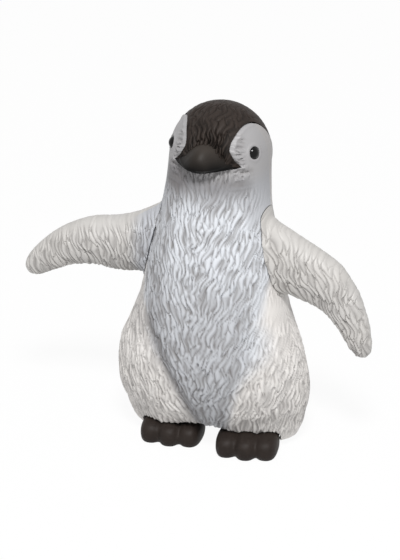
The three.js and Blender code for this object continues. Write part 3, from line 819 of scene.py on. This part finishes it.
def crown_relief(points):
    """Height of the cap's locks in millimetres, and how much painted shade lies in their grooves."""
    away = points - np.array(HEAD)
    away /= np.linalg.norm(away, axis=1)[:, None]
    turn = np.arctan2(away[:, 0], away[:, 2] + 0.25)
    out = np.arccos(np.clip(-away[:, 1], -1, 1))
    height, groove = feather_locks(turn * CAP_COLUMNS, out * HEAD_RADIUS / CAP_LOCK_LENGTH)
    strong = step(-away[:, 1], -0.45, 0.45) * (1 - 0.7 * step(points[:, 2], 63, 67.5))
    edge = step(from_cap_edge(points), 0.1, 0.9)
    return (height - LOCK_LEVEL) * edge * (0.05 + strong), groove * (0.3 + 0.7 * strong)


black_plastic, shader, wire = new_material("cap_plastic")
groove = pattern(wire, "groove")
fine = grain(wire, 2400.0, 3.0, 0.6)
# the cap's black, near black in the grooves as painted shade
connect(groove.mix(colour(46, 39, 35), colour(3, 3, 2)), shader, "Base Color")
connect(0.52 + 0.14 * groove + 0.1 * (fine - 0.5), shader, "Roughness")
shader.inputs["Specular IOR Level"].default_value = 0.12

cap = ring_ball(64, 28, 8, skin_points)
push(cap, crown_relief(points_of(cap))[0])
cap = cut(cap, cut(cap_region(0), inner_skin(CAP_THICKNESS)), "INTERSECT")
cap = cut(cap, beak_form(BEAK_SEAM))
stud_root = HEAD.z + HEAD_RADIUS - CAP_THICKNESS / 2
stud_end = stud_root - CAP_THICKNESS / 2 - STUD_LENGTH
cap = cut(cap, rod(Vector((0, HEAD.y, 0)), UP, stud_end, stud_root, STUD_RADIUS), "UNION")
crown_cap = finish_piece("black_cap", cap, black_plastic, groove=crown_relief(points_of(cap))[1])
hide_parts("crown_cap")
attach(crown_cap, "body")


# Beak: a solid wide black plastic cone with a fine mouth line, glued into its seat in the face. Its upper
# side is painted lighter as a painted highlight where the lamp falls on it, fading to black below.
MOUTH_DEPTH = 0.14
MOUTH_WIDTH = 0.16
# height in metres where the painted highlight of the upper side begins, and its growth to the metre from
# there
PAINTED_LIGHT_FROM = 0.0592
PAINTED_LIGHT_RISE = 300.0

beak_plastic, shader, wire = new_material("beak_plastic")
height = wire.node("ShaderNodeSeparateXYZ", {}, {0: wire.node("ShaderNodeTexCoord", output=3)}, output=2)
painted_top_light = ((height - PAINTED_LIGHT_FROM) * PAINTED_LIGHT_RISE + (grain(wire, 260.0) - 0.5) * 0.4).kept()
# painted highlight: black below, lighter towards the top of the beak
connect(painted_top_light.mix(colour(3, 3, 3), colour(54, 49, 45)), shader, "Base Color")
connect(0.42 + 0.14 * grain(wire, 1500.0, 3.0, 0.6), shader, "Roughness")
shader.inputs["Specular IOR Level"].default_value = 0.1

beak_shape = beak_form(0, 5)
x, _, z = points_of(beak_shape).T
push(beak_shape, -MOUTH_DEPTH * bell(z, MOUTH + 0.02 * x ** 2, MOUTH_WIDTH))
beak = finish_piece("black_beak", beak_shape, beak_plastic)
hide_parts("beak")
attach(beak, "body")


# Eyes: glossy black beads on short stems, pressed into sockets in the cheeks.
eye_gloss, shader, wire = new_material("eye_gloss")
connect(grain(wire, 500.0).mix(colour(2, 2, 2), colour(6, 5, 5)), shader, "Base Color")
connect(0.05 + 0.05 * grain(wire, 900.0), shader, "Roughness")
shader.inputs["Specular IOR Level"].default_value = 0.21
for side in SIDES:
    eye = finish_piece(f"eye_bead_{side}", eye_form(side, EYE_EXTRA, 96), eye_gloss)
    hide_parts(f"eye_{side}")
    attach(eye, "body")


# Wing pins: plain pale pins, each with a flange inside the body, a journal in the bearing and a stem glued
# into the wing. They are the parts of the frame as they are, with a finish.
pin_plastic, shader, wire = new_material("pin_plastic")
connect(grain(wire, 700.0).mix(colour(214, 208, 198), colour(228, 223, 214)), shader, "Base Color")
connect(0.32 + 0.14 * grain(wire, 1600.0, 3.0), shader, "Roughness")
for side in SIDES:
    pin = frame["nodes"][f"wing_pin_{side}"]
    pin.data.materials.clear()
    pin.data.materials.append(pin_plastic)


# Wings: solid off-white plastic with the same hanging locks. A round root sits in a shallow seat on the
# body's side and turns there on its pin, and the blade tapers to a blunt tip.
ROOT_RADIUS = 13
WING_LOCK_LENGTH = 2.7
WING_LOCK_LEAN = 0.35
# how far out from the seat the hole for the pin's journal and the one for its thinner stem end
JOURNAL_END = 1.4
STEM_END = 5.6
STEM_RADIUS = 1.4
# out from the seat, up, ahead, lean of the slice in degrees, width, thickness
WING_SLICES = {
    "left": [
        (-3.0, 0.5, -0.5, -12, 0, 0), (-2.4, 0.5, -0.5, -12, 19.4, 9.8),
        (1.4, -0.3, -0.9, -4, 14.4, 9.4), (4.8, -1.9, -1.5, 8, 11.9, 8.8),
        (7.8, -3.6, -2.0, 21, 10.9, 8.2), (10.6, -5.2, -2.2, 29, 10.1, 7.6),
        (13.3, -7.6, -2.0, 40, 8.4, 6.8), (15.3, -10.7, -1.8, 53, 7.0, 6.0),
        (16.9, -14.0, -1.6, 63, 5.8, 5.0), (17.9, -16.9, -1.5, 67, 4.5, 3.9),
        (18.5, -18.5, -1.4, 69, 3.0, 2.6), (18.7, -19.4, -1.4, 70, 0, 0),
    ],
    "right": [
        (-3.0, 0.4, -0.5, -12, 0, 0), (-2.4, 0.4, -0.5, -12, 19.4, 9.8),
        (0.9, 0.1, -0.8, -5, 15.0, 9.6), (3.4, -0.7, -1.3, -1, 12.8, 9.0),
        (6.5, -1.8, -1.9, 0, 11.8, 8.4), (9.8, -2.4, -2.0, 2, 11.0, 7.8),
        (13.1, -2.4, -1.8, 6, 10.1, 7.2), (16.7, -3.3, -1.6, 16, 8.9, 6.6),
        (20.1, -4.8, -1.5, 26, 7.6, 5.8), (23.4, -7.1, -1.4, 34, 6.3, 4.8),
        (25.8, -9.1, -1.3, 41, 4.9, 3.8), (27.1, -10.4, -1.2, 44, 3.1, 2.5),
        (27.7, -11.0, -1.2, 45, 0, 0),
    ],
}


def wing_blade(side):
    """The blade, slice by slice along its middle line from inside the body to the tip."""
    seat = seats[side]
    outwards = SIDES[side]

    def place(across, ahead, share):
        out, up, forward, lean, width, thick = smooth_line(WING_SLICES[side], share).T
        lean = np.radians(lean)
        wide = -outwards * np.maximum(width / 2, 0) * across
        return np.stack([
            seat.x + outwards * (out + wide * np.sin(lean)),
            seat.y - forward + np.maximum(thick / 2, 0) * ahead,
            seat.z + up + wide * np.cos(lean),
        ], 1)

    return ring_ball(64, 64, 0, place)


def cast_together(shapes, fineness, rounds):
    """Shapes that overlap, made one even skin whose inner corners are rounded."""
    whole = bmesh.new()
    for shape in shapes:
        mesh = mesh_of("shape", shape)
        whole.from_mesh(mesh)
        bpy.data.meshes.remove(mesh)
    cast = new_object("shape", mesh_of("shape", whole))
    remesh = cast.modifiers.new("cast", "REMESH")
    remesh.mode = "VOXEL"
    remesh.voxel_size = fineness
    smooth = cast.modifiers.new("soften", "SMOOTH")
    smooth.factor = 0.5
    smooth.iterations = rounds
    fine = cast.modifiers.new("fine", "SUBSURF")
    fine.levels = fine.render_levels = 2
    result = bmesh.new()
    result.from_object(cast, bpy.context.evaluated_depsgraph_get())
    bpy.data.meshes.remove(cast.data)
    return result


def wing_locks(points):
    """Locks that hang across the blade, leaning out towards the tip."""
    across = (points[:, 0] + WING_LOCK_LEAN * points[:, 2]) / LOCK_WIDTH
    return feather_locks(across, -points[:, 2] / WING_LOCK_LENGTH)


def wing_faces(made):
    """1 on the broad front and back of a blade, fading to 0 round its edges and its top."""
    made.normal_update()
    normals = np.array([vert.normal for vert in made.verts])
    return step(np.abs(normals[:, 1]), 0.15, 0.5) * (1 - step(normals[:, 2], 0.3, 0.75))


wing_plastic = feather_plastic(
    "wing_plastic", (192, 189, 185), (180, 182, 187), (112, 110, 112), (106, 102, 100),
)
grow = (GAP - SEAM) / 2
for side in SIDES:
    root = cut(inner_skin(0), pin_hole(side, -2, SEAT_REACH, ROOT_RADIUS), "INTERSECT")
    wing = cast_together([wing_blade(side), root], 0.5, 6)
    wing_points = points_of(wing)
    height, _ = wing_locks(wing_points)
    out, along = from_pin(wing_points, side)
    calm = np.maximum(near_seat(wing_points, side), (out > SEAT_RADIUS) * (along < 4))
    relief = (0.1 + 0.45 * wing_faces(wing)) * (1 - 0.5 * step(along, 15, 26))
    push(wing, (1 - calm) * (0.05 + relief * (height - LOCK_LEVEL)))
    rounded_seat = beyond_bowl(side, GAP - grow, SEAT_RADIUS + grow, SEAT_REACH, SEAT_RIM + grow)
    wing = cut(wing, cut(inner_skin(-SEAM), rounded_seat))
    wing = cut(wing, beyond_bowl(side, GAP - grow, FAR, FAR), "INTERSECT")
    wing = cut(wing, pin_hole(side, -1, JOURNAL_END + GAP, PIN_RADIUS + GAP))
    wing = cut(wing, pin_hole(side, -1, STEM_END + GAP, STEM_RADIUS + GAP))
    wing_points = points_of(wing)
    # painted shade in the grooves of the wing's locks, as on the body
    grooves = wing_locks(wing_points)[1] * (1 - near_seat(wing_points, side))
    grooves *= 0.25 + 0.67 * wing_faces(wing)
    from_seat = np.abs(wing_points[:, 0] - seats[side].x)
    root_grey = (side == "right") * (1 - step(from_seat, 1.5, 6)) * (wing_points[:, 1] < seats[side].y)
    blade = finish_piece(
        f"wing_blade_{side}", wing, wing_plastic, groove=grooves, bib=root_grey, dim=0 * grooves,
    )
    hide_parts(f"wing_{side}")
    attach(blade, f"{side}_wing")


# Feet: solid black plastic, three fat toes side by side, an instep behind them and an ankle that plugs
# into the body.
foot_plastic, shader, wire = new_material("foot_plastic")
connect(grain(wire, 300.0).mix(colour(31, 25, 22), colour(44, 37, 33)), shader, "Base Color")
connect(0.5 + 0.14 * grain(wire, 1800.0, 3.0, 0.6), shader, "Roughness")
shader.inputs["Specular IOR Level"].default_value = 0.16
for side in SIDES:
    foot = cast_together(foot_balls(side, 0, 64), 0.4, 4)
    ground = Vector((FOOT_PLACES[side][0], ANKLE_DEPTH, 0))
    foot = cut(foot, rod(ground, UP, 0, FAR, FAR), "INTERSECT")
    foot_piece = finish_piece(f"black_foot_{side}", foot, foot_plastic)
    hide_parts(f"foot_{side}")
    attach(foot_piece, "body")


# Floor and light: a pale floor that reads as white paper and keeps a soft shadow, an even white room,
# and one small soft lamp high above the camera.
def straight_on(wire):
    """1 where the camera sees a thing directly, or in a reflection or through something clear."""
    kinds = ("Is Camera Ray", "Is Glossy Ray", "Is Transmission Ray")
    seen, mirrored, shone_through = (wire.node("ShaderNodeLightPath", output=kind) for kind in kinds)
    return (seen + mirrored + shone_through).kept()


plane = bmesh.new()
bmesh.ops.create_grid(plane, x_segments=1, y_segments=1, size=3)
floor_mesh = mesh_of("floor", plane)
floor_paper = bpy.data.materials.new("floor_paper")
floor_paper.use_nodes = True
wire = Wire(floor_paper.node_tree)
floor_paper.node_tree.nodes.remove(floor_paper.node_tree.nodes["Principled BSDF"])
paper = wire.node("ShaderNodeBsdfDiffuse", {}, {"Color": (0.82, 0.82, 0.82, 1)})
glow = wire.node("ShaderNodeEmission", {}, {"Color": (1, 1, 1, 1), "Strength": 1.0})
both = wire.node("ShaderNodeMixShader", {}, {0: straight_on(wire) * 0.94, 1: paper, 2: glow})
wire.tree.links.new(both.socket, wire.tree.nodes["Material Output"].inputs["Surface"])
floor_mesh.materials.append(floor_paper)
floor = new_object("floor", floor_mesh)

room = bpy.data.worlds.new("room")
room.use_nodes = True
bpy.context.scene.world = room
wire = Wire(room.node_tree)
background = room.node_tree.nodes["Background"]
background.inputs["Color"].default_value = (1, 1, 1, 1)
connect(0.34 + 0.66 * straight_on(wire), background, "Strength")

lamp = bpy.data.lights.new("key", "AREA")
lamp.size = 0.16
lamp.energy = 6.6
key = new_object("key", lamp)
key.location = (0.16, -0.42, 0.69)
key.rotation_euler = (key.location - Vector((0, 0, 0.03))).to_track_quat("Z", "Y").to_euler()
bpy.context.scene.view_settings.view_transform = "Standard"
